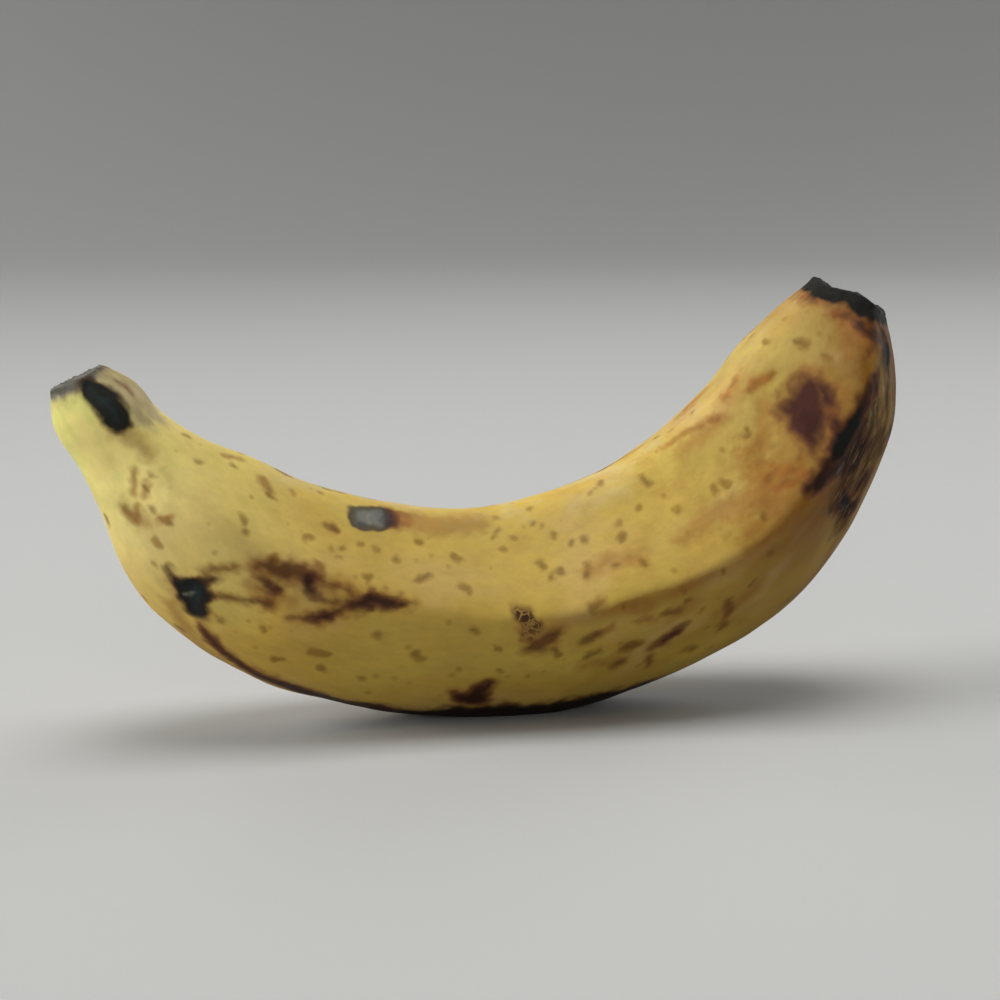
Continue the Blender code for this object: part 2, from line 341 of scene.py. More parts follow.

# Fine pale scuffs and strands, painted highlights on the rim of the cut stem and across a black
# mark, and the grey, dried scab on the upper side
PALE_SCUFFS_AND_HIGHLIGHTS = (
    # A painted highlight on the rim of the cut stem
    ((0.8, 22, 0.5), (1.2, 38, 0.6)),
    ((157.6, 78, 0.2), (155.6, 79, 0.25)),
    ((173.4, 64, 0.2), (171.6, 60, 0.3)),
    ((170, 70, 0.15), (167.4, 66, 0.2)),
    ((167.6, 74, 0.15), (165, 70, 0.2)),
    # A painted highlight across the black mark
    ((35.6, 47, 0.1), (36.4, 52, 0.16), (36.9, 56, 0.1)),
    ((61.4, 158, 0.1), (60.8, 154, 0.3), (61.6, 150, 0.2)),
)
GREY_PATCH = (
    ((59, 157, 1.5), (63.4, 160, 1.5)),
    ((59, 153, 1.5), (63.5, 156, 1.5)),
    ((59.2, 149, 1.5), (63.1, 152, 1.5)),
)

# Freckles on the viewer's side: place along, place round, half width
FRECKLES = (
    (25.5, 78, 0.6), (27.2, 59, 0.7), (19.5, 80, 0.4), (22.8, 73, 0.35), (18, 92, 0.35),
    (18, 158, 0.5), (22, 134, 0.6), (28, 150, 0.5), (37.2, 142, 0.7), (42.2, 155, 0.4),
    (48.8, 166, 0.4), (34.2, 112, 0.7), (36, 107, 0.6), (47.8, 125, 0.7), (50.8, 138, 0.4),
    (53, 138, 0.9), (55.5, 127, 0.35), (54.8, 120, 0.5), (53.2, 124, 0.4), (71.8, 142, 0.7),
    (66.6, 127, 0.6), (72, 118, 0.9), (79.2, 134, 0.7), (80, 114, 0.9), (61, 113, 0.8),
    (59.2, 132, 0.35), (62.5, 132, 0.35), (51, 111, 0.7), (42.8, 104, 0.8), (89.6, 162, 0.6),
    (88, 148, 0.4), (42.4, 50, 1.0), (48.2, 63, 0.7), (57.8, 62, 1.2), (59.5, 49, 0.7),
    (65.5, 84, 0.8), (73.8, 74, 1.0), (52.8, 46, 0.7), (66, 48, 0.7), (82, 94, 0.6),
    (86.8, 82, 0.6), (81, 66, 0.4), (38, 60, 0.4), (30, 46, 0.5), (88, 66, 0.5),
    (93, 61, 0.4), (99, 164, 0.5), (97.8, 153, 0.45), (89.2, 152, 0.4), (116, 164, 0.8),
    (113, 160, 0.4), (114.6, 128, 1.0), (115, 136, 0.4), (120.5, 140, 0.6), (107.5, 134, 0.8),
    (104.5, 134, 0.5), (100.4, 119, 0.9), (96.7, 126, 0.8), (105.6, 118, 0.7), (115.8, 110, 0.7),
    (111, 114, 0.4), (125.5, 152, 0.8), (128.2, 127, 0.6), (137.5, 125, 0.7), (140.2, 124, 0.7),
    (152.4, 134, 0.8), (99.8, 150, 0.4), (101.5, 142, 0.4), (98.2, 117, 0.6), (89.5, 139, 0.4),
    (92.2, 146, 0.4), (105.2, 115, 0.6), (109.2, 95, 0.3), (128.9, 90, 0.35), (120.6, 90, 0.3),
    (123.5, 74, 0.45), (132.8, 71, 0.55), (137.5, 82, 0.5), (136.8, 29, 0.5), (97, 77, 0.6),
    (121.2, 84, 0.4), (171, 159, 0.7), (173, 112, 0.7), (173.5, 135, 1.0), (141, 98, 0.5),
)

# What the sides that face away have: how many, and between which places along and round
HIDDEN_FRECKLES, HIDDEN_STREAKS = 170, 16
FRECKLES_ALONG, FRECKLES_ROUND, FRECKLE_WIDTHS = (14, 176), (172, 378), (0.35, 0.95)
STREAKS_ALONG, STREAKS_ROUND, STREAK_WIDTHS = (25, 160), (185, 350), (0.5, 1.5)
LEAST_STREAK_WIDTH = 0.3
STREAK_LINKS, STREAK_STEP = (1, 5), ((1, 4), (-6, 6), (-0.3, 0.2))

# A freckle's half length as a share of its half width, its two ends' widths, and the slants of
# freckles in radians: where the two halves of the fruit meet, and the mean and spread of each
STROKE, STROKE_SPREAD = 0.8, (0.3, 1.3)
FRECKLE_HEAD, FRECKLE_TAIL = 0.75, 0.55
HALFWAY, STEM_HALF_SLANT, TIP_HALF_SLANT, SLANT_SPREAD = 95, 0.0, 1.1, 0.5
MEAN_REACH = 19


def freckle_chains():
    """Each freckle as a short chain. On the stem's half they are round or lie along the fruit, and
    on the tip's half they lie across it. More of them, seeded, are on the sides that face away from
    the viewer."""
    draw = np.random.default_rng(11)
    spots = list(FRECKLES)
    spans = (FRECKLES_ALONG, FRECKLES_ROUND, FRECKLE_WIDTHS)
    for _ in range(HIDDEN_FRECKLES):
        spots.append(tuple(draw.uniform(*span) for span in spans))
    chains = []
    for along, around, half_width in spots:
        reach = STROKE * half_width * draw.uniform(*STROKE_SPREAD)
        slant = draw.normal(STEM_HALF_SLANT if along < HALFWAY else TIP_HALF_SLANT, SLANT_SPREAD)
        da = reach * math.cos(slant)
        dr = math.degrees(reach * math.sin(slant) / MEAN_REACH)
        first = (along - da, around - dr, half_width * FRECKLE_HEAD)
        last = (along + da, around + dr, half_width * FRECKLE_TAIL)
        chains.append((first, last))
    return chains


def hidden_streaks(seed):
    """Seeded bruises on the sides that face away from the viewer, drawn out along the fruit."""
    draw = np.random.default_rng(seed)
    chains = []
    for _ in range(HIDDEN_STREAKS):
        spot = np.array([draw.uniform(*span) for span in (STREAKS_ALONG, STREAKS_ROUND, STREAK_WIDTHS)])
        chain = [tuple(spot)]
        for _ in range(draw.integers(*STREAK_LINKS)):
            spot = spot + tuple(draw.uniform(*span) for span in STREAK_STEP)
            spot[2] = max(spot[2], LEAST_STREAK_WIDTH)
            chain.append(tuple(spot))
        chains.append(tuple(chain))
    return tuple(chains)


# How deep a place that is nowhere near a mark counts as lying in it, in mm
FAR_OUTSIDE = -8.0


def depth_in(marks, along, around, stretch, reach, blend):
    """How many mm each point of the skin lies inside the nearest mark, negative outside. The
    distance to a chain is the least distance to one of its bands, less the half width there, and
    neighbouring bands run into each other over the blend."""
    deepest = np.full(along.shape, FAR_OUTSIDE)
    for chain in marks:
        for (s0, a0, w0), (s1, a1, w1) in zip(chain, chain[1:]):
            x = (along - s0) * stretch
            y = np.radians((around - a0 + 180) % 360 - 180) * reach
            bx = (s1 - s0) * stretch
            by = np.radians(a1 - a0) * reach
            t = np.clip((x * bx + y * by) / (bx * bx + by * by + 1e-9), 0, 1)
            inside = w0 + (w1 - w0) * t - np.hypot(x - bx * t, y - by * t)
            share_of = np.clip(0.5 + 0.5 * (inside - deepest) / blend, 0, 1)
            deepest = deepest + share_of * (inside - deepest) + blend * share_of * (1 - share_of)
    return deepest


# The peel: about three millimetres of waxy, leathery skin, here its outer face alone. The sides
# are not quite even, bruised places have sunk a little, the cut stem has dried hollow and the
# flower's scar at the tip is a crust.

# The two dry end faces: share of the end ring's size, and height above it in mm
STEM_FACE = ((1.0, 0.0), (0.93, 0.25), (0.86, 0.1), (0.70, -0.5), (0.35, -0.3), (0.0, -0.3))
TIP_FACE = ((1.0, 0.0), (0.84, 0.4), (0.62, -0.6), (0.32, -1.2), (0.0, -1.3))
FACE_RINGS = 12
FIRST_POINT_DEG = 6

# The scar's uneven rim, and how far the crust and the dried skin reach from it, in mm, with the
# darkened rim of the cut stem. A swell has a size and a height in mm, and a seed.
TIP_RIM_HEIGHT, TIP_BUMPS, TIP_BUMP_HEIGHT, TIP_BUMP_TURN_DEG = 0.2, 3, 0.5, 100
TIP_SCAR_LENGTH = 2.5
CRUST_LENGTH = 3.0
DRIED_REACH, DRIED_WAVE, DRIED_WAVE_DEG = 2.1, 0.4, 140
DRIED_SWELL = (4, 0.4, 27)
STEM_RIM_REACH, STEM_RIM_WAVE, STEM_RIM_DEG = 0.8, 0.7, 50
FACE_DEPTH = 2.0


def grid_shares():
    """Shares of the length for the rings, a little closer together near the two ends."""
    u = np.linspace(0, 1, RINGS)
    return u - END_CROWDING * np.sin(2 * math.pi * u) / (2 * math.pi)


def face_heights(profile, sizes):
    """Height of a dry end face at sizes of its outline, from its profile read outwards."""
    places, heights = zip(*reversed(profile))
    return curve_through(places, heights, sizes)


def hill(distance, width):
    """A rounded hill of height one: e to the power of minus the square of distance over width."""
    return np.exp(-(distance / width) ** 2)


face_sizes = np.linspace(1, 0, FACE_RINGS + 1)[1:-1]
share = np.concatenate([np.zeros(FACE_RINGS - 1), grid_shares(), np.ones(FACE_RINGS - 1)])[:, None]
size = np.concatenate([face_sizes[::-1], np.ones(RINGS), face_sizes])[:, None]
height = np.concatenate([
    -face_heights(STEM_FACE, face_sizes[::-1]), np.zeros(RINGS), face_heights(TIP_FACE, face_sizes),
])[:, None]
turn = along_fruit(TURN_DEG, share)
around = turn + FIRST_POINT_DEG + np.arange(AROUND)[None, :] * 360 / AROUND
angle = np.radians(around)
share, size, height = (np.broadcast_to(a, angle.shape) for a in (share, size, height))
along = share * LENGTH
from_tip = LENGTH - along
reach = reach_at(share, angle)
plain = skin_point(share, angle, reach * size, height)


def lumps(size, height, seed):
    """A swell of the given size and height in mm, over the whole skin."""
    return height * swell(plain, size, seed)


# Where each point lies in the marks. The skin is longer than the middle line on the outer curve
# and shorter on the inner one, and the edges of the marks wander: size of a bend in mm, how far
# it goes, and the seeds of its two directions.
SKIN_STRETCH = (0.6, 1.6)
EDGE_WANDER = ((5, 0.3, 21, 23), (1.7, 0.22, 22, 24))
MARK_BLEND, FRECKLE_BLEND = 0.6, 0.2
HIDDEN_BRUISES = 6

step = np.linalg.norm(np.gradient(plain, axis=0), axis=-1)
stretch = np.where(size < 1, 1.0, step / np.maximum(np.abs(np.gradient(along, axis=0)), 1e-3))
stretch = np.clip(stretch, *SKIN_STRETCH)
marked_along, marked_around = along, around
for bend, wander, seed_along, seed_around in EDGE_WANDER:
    marked_along = marked_along + wander * swell(plain, bend, seed_along)
    marked_around = marked_around + np.degrees(wander * swell(plain, bend, seed_around) / reach)
skin_marks = {
    "tan": TAN_ZONES,
    "neck": NECK_PAINTED_LIGHT,
    "stain": STAINS + hidden_streaks(31),
    "rust": RUST + hidden_streaks(34),
    "orange": ORANGE_FIELD,
    "cloud": CLOUDS + hidden_streaks(32),
    "brown": BROWN_MARKS,
    "purple": PURPLE_PATCH,
    "bruise": BRUISES + hidden_streaks(33)[:HIDDEN_BRUISES],
    "black": BLACK_MARKS,
    "net": NET_SCAR,
    "grey": GREY_PATCH,
    "freckle": freckle_chains(),
    "fibrous": FIBROUS_ZONE,
    "husk": HUSKS,
    "belly_shadow_bruise": BELLY_SHADOW_AND_BRUISE,
    "pale": PALE_SCUFFS_AND_HIGHLIGHTS,
}
fields = {}
for name, marks in skin_marks.items():
    blend = FRECKLE_BLEND if name == "freckle" else MARK_BLEND
    fields[name] = depth_in(marks, marked_along, marked_around, stretch, reach, blend)

# The ridges between the sides, in degrees round the fruit, and the one with a crease beside it,
# which shows on the tip's half, with painted shade on its lower side and painted light on its
# upper side: by how much, how soon and how widely
RIDGES_DEG, CREASE_DEG = (6, 96, 227.5, 287), 96
CREASE_START, CREASE_FADE_IN, CREASE_END, CREASE_FADE_OUT = 75, 40, 178, 25
CREASE_SHADE, CREASE_SHADE_EDGE, CREASE_SHADE_WIDTH = 0.2, 0.9, 9

# Which way the darker lower side faces, its darkness partly browner skin and partly painted shade,
# and the tip, which is as dark all round: how much more it counts as lower, from what share of the
# length, and over what share
UNDER_DEG = 15
BROWN_TIP, BROWN_TIP_FROM, BROWN_TIP_OVER = 0.45, 0.62, 0.3


def off_ridge(ridge_deg):
    """How far round the skin each point is from a ridge, in mm: the angle between, times reach."""
    return np.radians((around - turn - ridge_deg + 180) % 360 - 180) * reach


ridge_away = np.min([np.abs(off_ridge(ridge)) for ridge in RIDGES_DEG], axis=0)
crease = off_ridge(CREASE_DEG)
crease_shown = np.clip((along - CREASE_START) / CREASE_FADE_IN, 0, 1)
crease_shown = crease_shown * np.clip((CREASE_END - along) / CREASE_FADE_OUT, 0, 1)
fields["ridge"] = ridge_away
fields["crease"] = crease
fields["along"] = along
fields["dried"] = DRIED_REACH + DRIED_WAVE * np.cos(np.radians(around - DRIED_WAVE_DEG)) - from_tip
fields["dried"] += lumps(*DRIED_SWELL) + FACE_DEPTH * (1 - size) * (share == 1)
fields["stem_edge"] = STEM_RIM_REACH + STEM_RIM_WAVE * np.cos(np.radians(around - STEM_RIM_DEG)) - along
fields["stem_edge"] += FACE_DEPTH * (1 - size) * (share == 0)
# The lower side, which takes the darker tones: partly browner skin, partly painted shade
fields["under"] = np.cos(np.radians(around - turn - UNDER_DEG))
fields["under"] += BROWN_TIP * np.clip((share - BROWN_TIP_FROM) / BROWN_TIP_OVER, 0, 1)
# Painted shade below the crease and painted light above it, as a shift between the side's tones
crease_shade = CREASE_SHADE * np.tanh(crease / CREASE_SHADE_EDGE) * hill(crease, CREASE_SHADE_WIDTH)
fields["under"] -= crease_shade * crease_shown
grain = np.stack([along, reach * np.cos(angle) * size, reach * np.sin(angle) * size], axis=-1)

# The relief of the skin, in mm: broad swells, uneven ridges, the crease, sunken marks, fibres,
# the raised net, the neck's collar, the shrunken rim of the stem and the crust of the scar
SKIN_SWELLS = ((26, 0.20, 1), (9, 0.07, 2), (3.5, 0.03, 3))
CRUST_SWELLS = ((3.2, 0.22, 6), (1.1, 0.07, 7))
RIDGE_RISE, RIDGE_WIDTH, RIDGE_FROM, RIDGE_SWELL = 0.18, 1.6, 0.1, (14, 1.0, 4)
CREASE_RISE, CREASE_LIP, CREASE_LIP_WIDTH = 0.25, 0.3, 1.5
CREASE_SINK, CREASE_HOLLOW, CREASE_HOLLOW_WIDTH = 0.7, -3, 1.9
SUNKEN = (("black", 0.25), ("bruise", 0.12))
SUNKEN_OVER = 1.5
FIBRES, FIBRE_RISE, FIBRES_OVER = 38, 0.10, 2
FIBRE_BEND, FIBRE_FADE = (16, 2.5, 25), (6, 0.4, 26)
NET_RISE, NET_BEYOND, NET_EVEN, NET_SWELL = 0.6, 0.3, 0.3, (1.1, 0.35, 5)
COLLAR_RISE, COLLAR_AT, COLLAR_WIDTH, COLLAR_DEG = 0.6, 9, 5, 20
STEM_SHRINK, STEM_SHRINK_OVER = 0.6, 2.0
CUT_EDGE, CUT_EDGE_RELIEF, CUT_EDGE_SWELL = 1.0, 0.4, (1.2, 0.1, 8)
SCAR_EDGE, SCAR_EDGE_SWELL, FACE_SWELL = 0.5, (2.4, 0.18, 9), (0.9, 0.12, 10)

relief = sum(lumps(*each) for each in SKIN_SWELLS)
relief += RIDGE_RISE * hill(ridge_away, RIDGE_WIDTH) * lumps(*RIDGE_SWELL) * (share > RIDGE_FROM)
lip = hill(crease - CREASE_LIP, CREASE_LIP_WIDTH)
hollow = hill(crease - CREASE_HOLLOW, CREASE_HOLLOW_WIDTH)
relief += CREASE_RISE * crease_shown * (lip - CREASE_SINK * hollow)
for name, sink in SUNKEN:
    relief -= sink * np.clip(fields[name] / SUNKEN_OVER, 0, 1)
fibres = np.sin(np.radians(around) * FIBRES + lumps(*FIBRE_BEND))
fibres = fibres * (1 - FIBRE_FADE[1] + lumps(*FIBRE_FADE))
relief += FIBRE_RISE * fibres * np.clip(fields["fibrous"] / FIBRES_OVER, 0, 1)
relief += np.clip(fields["net"] + NET_BEYOND, 0, NET_RISE) * (NET_EVEN + lumps(*NET_SWELL))
collar = hill(along - COLLAR_AT, COLLAR_WIDTH) * np.clip(np.cos(np.radians(around - COLLAR_DEG)), 0, 1)
relief += COLLAR_RISE * collar
relief -= STEM_SHRINK * np.clip(1 - along / STEM_SHRINK_OVER, 0, 1) ** 2
crust = np.clip(1 - from_tip / CRUST_LENGTH, 0, 1)
relief = relief * (1 - crust) + crust * sum(lumps(*each) for each in CRUST_SWELLS)
relief = np.where(along < CUT_EDGE, relief * CUT_EDGE_RELIEF + lumps(*CUT_EDGE_SWELL), relief)

fade = np.clip(1 - from_tip / TIP_SCAR_LENGTH, 0, None)
wave = np.cos(TIP_BUMPS * (angle - math.radians(TIP_BUMP_TURN_DEG)))
rise = fade * (TIP_RIM_HEIGHT + TIP_BUMP_HEIGHT * wave) * size
rise = rise + np.where(from_tip < SCAR_EDGE, lumps(*SCAR_EDGE_SWELL), 0)
rise = rise + np.where(size < 1, lumps(*FACE_SWELL), 0)
points = skin_point(share, angle, (reach + relief) * size, height + rise)

# Set down as the solid is: leaned, over the origin, with the belly pressed flat on the ground
plain, points = lean(plain), lean(points)
middle = (plain.reshape(-1, 3).min(axis=0) + plain.reshape(-1, 3).max(axis=0)) / 2
middle[2] = plain[..., 2].min() + REST_DEPTH
points = points - middle
points[..., 2] = np.maximum(points[..., 2], 0)


def skin_faces(rings):
    """A quad between each pair of neighbouring points of two rings, and a fan on each end ring."""
    i, j = np.meshgrid(np.arange(rings - 1), np.arange(AROUND), indexing="ij")
    k = (j + 1) % AROUND
    quads = np.stack([i * AROUND + j, (i + 1) * AROUND + j, (i + 1) * AROUND + k, i * AROUND + k], -1)
    j = np.arange(AROUND)
    k = (j + 1) % AROUND
    last = (rings - 1) * AROUND
    stem_fan = np.stack([np.full(AROUND, rings * AROUND), j, k], -1)
    tip_fan = np.stack([np.full(AROUND, rings * AROUND + 1), last + k, last + j], -1)
    return quads.reshape(-1, 4).tolist() + stem_fan.tolist() + tip_fan.tolist()


rings = len(points)
centres = np.stack([points[0].mean(axis=0), points[-1].mean(axis=0)])
vertices = np.concatenate([points.reshape(-1, 3), centres]) * METRES
mesh = bpy.data.meshes.new("banana_peel")
mesh.from_pydata(vertices, [], skin_faces(rings))
mesh.update()
mesh.shade_smooth()
for name, values in fields.items():
    ends = [values[0].mean(), values[-1].mean()]
    layer = mesh.attributes.new(name, "FLOAT", "POINT")
    layer.data.foreach_set("value", np.concatenate([values.ravel(), ends]).astype(np.float32))
grain_ends = np.stack([grain[0].mean(axis=0), grain[-1].mean(axis=0)])
grain_values = np.concatenate([grain.reshape(-1, 3), grain_ends]).astype(np.float32)
layer = mesh.attributes.new("grain", "FLOAT_VECTOR", "POINT")
layer.data.foreach_set("vector", grain_values.ravel())
peel = bpy.data.objects.new("banana_peel", mesh)
bpy.context.scene.collection.objects.link(peel)
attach(peel, "root")
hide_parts("banana")


# The peel's finish: ripe banana skin with its own thin wax, grown and not worked. It gives a soft
# satin light on the sides, a colour that drifts from green yellow at the neck to brown yellow at
# the tip, and marks with ragged edges.

# The tones of the upper and the lower side, at shares of the length from the stem, how far they
# drift along it, and the step from the one side to the other. The lower side's darker, browner
# tones are partly the skin's own colour and partly painted shade.
UPPER_TONES = (
    (0.0, "#cfcb74"), (0.055, "#d6ce78"), (0.12, "#d4c070"), (0.3, "#bd9f4b"),
    (0.55, "#b79a45"), (0.75, "#b29749"), (0.9, "#a88f4c"), (1.0, "#987732"),
)
LOWER_TONES = (
    (0.0, "#cdc874"), (0.055, "#d8d07c"), (0.11, "#d8c57a"), (0.25, "#c29f47"), (0.45, "#b39340"),
    (0.65, "#a98a38"), (0.82, "#7a4f0c"), (1.0, "#643a06"),
)
TONE_DRIFT = 0.07
SIDE_STEP = (-0.35, 0.75, 0.0, 1.0)

# Noise patterns of the skin: size of a lump in mm, how far it is drawn out along the fruit, its
# detail and its roughness. A noise's values lie about its middle, mostly between its low and high.
PATTERNS = {
    "broad": (22, 1.5, 3.0, 0.5),
    "hue": (14, 1.4, 2.0, 0.5),
    "haze": (9, 1.5, 5.0, 0.65),
    "blotch": (7, 1.6, 4.0, 0.6),
    "patch": (3.0, 2.0, 3.0, 0.5),
    "fine": (1.6, 2.0, 4.0, 0.6),
    "ragged": (1.6, 1.3, 1.5, 0.4),
    "pores": (0.7, 1.5, 3.0, 0.5),
    "strands": (0.6, 9.0, 2.0, 0.5),
}
NOISE_LOW, NOISE_HIGH = 0.25, 0.75

# Fields of the skin that a pattern moves: the pattern, and by how much at most
MOVED_FIELDS = {
    "under": ("blotch", 0.25),
    "ridge": ("blotch", 0.9),
    "crease": ("blotch", 0.8),
    "net": ("ragged", 0.5),
}

# The tints over the skin, each over the last: a brown line on the ridges, a brown band on the
# lower side of the crease, a painted highlight along the upper, inner curve, tones that differ at
# random, and a brown haze on the tip's half. Each has its tone, and the smooth steps whose product
# is its strength. A step has a value, where it starts and is full, and its strengths there.
SKIN_TINTS = (
    ("#84551f", ("ridge", 1.7, 0.0, 0.0, 1.0), ("along", 85.0, 125.0, 0.05, 0.35)),
    ("#8e621f", ("crease", -4.0, -0.6, 0.0, 1.0), ("crease", 0.5, -0.3, 0.0, 1.0),
     ("along", 80.0, 115.0, 0.0, 0.85)),
    # A painted highlight along the upper, inner curve
    ("#d9cfa4", ("under", -0.75, -1.1, 0.0, 0.3)),
    ("#bdac4c", ("hue", 0.5, 0.68, 0.0, 0.25)),
    ("#b99a66", ("hue", 0.5, 0.3, 0.0, 0.35)),
    ("#94652d", ("haze", 0.45, 0.7, 0.0, 1.0), ("along", 60.0, 150.0, 0.08, 0.36)),
)

# How a pattern makes the skin darker and lighter, as factors
MOTTLES = (("blotch", 0.92, 1.08), ("fine", 0.92, 1.06))

# Small flecks: their spacing in mm, the share of places that have none, the largest one's half
# width as a share of the spacing, how ragged they are, and the step at their edge
FLECK_TONE, FLECK_STEP = "#83601f", (-0.1, 0.2, 0.0, 0.5)
FLECK_SPACING, FLECKLESS, FLECK_SIZE, FLECK_RAGGED = 3.1, 0.45, 0.26, 0.09

# Layers of marks, each over the last: its field, how deep in the mark in mm it starts and is
# full, how ragged its edge is in mm, its two tones, and how much of the skin it hides
MARK_LAYERS = (
    # Painted light on the neck's front, over its shaded hollow
    ("neck", -3.5, 2.0, 0.9, "#f6e28e", "#f0d684", 0.7),
    ("tan", -2.0, 1.2, 0.6, "#a2906e", "#8e7c5a", 0.85),
    ("stem_edge", -1.6, 1.0, 0.8, "#9c8a66", "#857452", 0.6),
    ("stem_edge", -0.4, 0.8, 0.3, "#4e4d48", "#363532", 0.94),
    ("orange", -3.6, 2.4, 1.6, "#8c5a1a", "#7a4a12", 0.62),
    ("stain", -2.2, 1.0, 0.6, "#94642a", "#845722", 0.55),
    ("rust", -1.1, 0.6, 0.3, "#995e26", "#7a4a1a", 0.68),
    ("freckle", -0.8, 0.4, 0.25, "#7c5418", "#5a3c10", 0.66),
    ("brown", -1.3, 0.7, 0.3, "#6a4216", "#56320e", 0.8),
    ("cloud", -1.8, 0.2, 0.5, "#8a5826", "#7a4a1e", 0.5),
    ("cloud", -0.7, 1.0, 0.3, "#5e3518", "#4a2a12", 0.84),
    ("purple", -3.0, -0.4, 0.9, "#80522a", "#6c4222", 0.72),
    ("purple", -1.8, 1.2, 0.4, "#3f1e1a", "#321512", 0.95),
    ("fibrous", -2.2, 1.5, 0.8, "#56401c", "#35220c", 0.88),
    ("husk", -0.9, 0.9, 0.4, "#957640", "#74562a", 0.84),
    ("bruise", -1.5, 0.0, 0.5, "#6e4124", "#5a2f1a", 0.6),
    ("bruise", -0.8, 1.0, 0.3, "#341a10", "#26130b", 0.95),
    # The belly band: a red brown bruised edge round a near black core of painted contact shadow
    ("belly_shadow_bruise", -1.8, 0.4, 0.6, "#56300f", "#43220c", 0.8),
    ("belly_shadow_bruise", -0.6, 0.9, 0.4, "#100b08", "#17100b", 0.96),
    ("black", -1.3, 0.0, 0.4, "#4b2b14", "#3a2210", 0.7),
    ("black", -0.6, 0.4, 0.25, "#151513", "#191c1c", 0.97),
    ("black", 0.6, 2.0, 0.3, "#1f2826", "#28383a", 0.7),
    ("grey", -1.0, 0.0, 0.25, "#37302c", "#2c2624", 0.9),
    ("grey", 0.0, 1.2, 0.25, "#3c403b", "#6e6f65", 0.92),
    # Pale scuffs and strands, and painted highlights
    ("pale", -0.4, 0.3, 0.15, "#a8a28e", "#8d8670", 0.36),
    ("dried", -3.4, -0.2, 1.0, "#744819", "#4e2c12", 0.76),
    ("dried", -0.6, 0.4, 0.3, "#100f0c", "#191812", 1.0),
)

# Over the marks: pale strands in the worn area, and the brown ground and pale lines of the net
OVER_TINTS = (
    ("#a08a5c", ("strands", 0.56, 0.68, 0.0, 1.0), ("fibrous", 0.0, 2.5, 0.0, 0.5)),
    ("#3f2611", ("net", -0.6, 0.5, 0.0, 0.6)),
    ("#9c7a3c", ("net_lines", 0.17, 0.03, 0.0, 1.0), ("net", -0.6, 0.4, 0.0, 0.8)),
)

# The net of lines: how many meshes in a mm, how far they are bent in mm, and the bends in a mm
NET_MESH, NET_BEND, NET_BEND_SCALE = 0.62, 3.2, 0.55

# Where the wax is gone the skin is rougher: the field, where that starts and is full
WORN = (("fibrous", -1.0, 1.0), ("dried", -1.0, 0.5), ("black", -0.5, 0.5))
WAXY_ROUGHNESS, WORN_ROUGHNESS = (0.46, 0.64), 0.25
PORE_DEPTH, PORE_STRENGTH = 0.12, 0.3
WAX_IOR, WAX_SPECULAR = 1.45, 0.18


def linear(colour):
    """An sRGB hex colour as the linear red, green, blue and alpha that shaders take: a dark channel
    over 12.92, and any other, plus 0.055 and over 1.055, to the power of 2.4."""
    channels = [int(colour[i:i + 2], 16) / 255 for i in (1, 3, 5)]
    return [c / 12.92 if c <= 0.04045 else ((c + 0.055) / 1.055) ** 2.4 for c in channels] + [1.0]


def add(tree, kind, inputs=(), output=0, **settings):
    """Adds a node with its settings, sets or links its inputs, and returns one of its outputs."""
    node = tree.nodes.new("ShaderNode" + kind)
    for name, value in settings.items():
        setattr(node, name, value)
    for name, value in dict(inputs).items():
        if isinstance(value, bpy.types.NodeSocket):
            tree.links.new(value, node.inputs[name])
        else:
            node.inputs[name].default_value = value
    return node.outputs[output] if node.outputs else None


def new_material(name):
    """A material of the given name, and its node tree, emptied."""
    material = bpy.data.materials.new(name)
    material.use_nodes = True
    material.node_tree.nodes.clear()
    return material, material.node_tree


def moved(tree, field, pattern, most):
    """A field of the skin, moved up or down by a noise pattern, by at most the given amount."""
    place = add(tree, "Attribute", output="Fac", attribute_name=field)
    shift = {"Value": pattern, 1: NOISE_LOW, 2: NOISE_HIGH, 3: -most, 4: most}
    shift = add(tree, "MapRange", shift)
    return add(tree, "Math", {0: place, 1: shift}, operation="ADD")


def tinted(tree, colour, tone, *steps):
    """A tone laid over a colour, as strongly as the product of smooth steps. Each step has a
    value, where it starts and is full, and the strengths at those two places."""
    strength = None
    for value, start, full, least, most in steps:
        step = add(tree, "MapRange", {"Value": value, 1: start, 2: full, 3: least, 4: most},
                   interpolation_type="SMOOTHSTEP")
        if strength is not None:
            step = add(tree, "Math", {0: strength, 1: step}, operation="MULTIPLY")
        strength = step
    return add(tree, "Mix", {0: strength, 6: colour, 7: tone}, 2, data_type="RGBA")


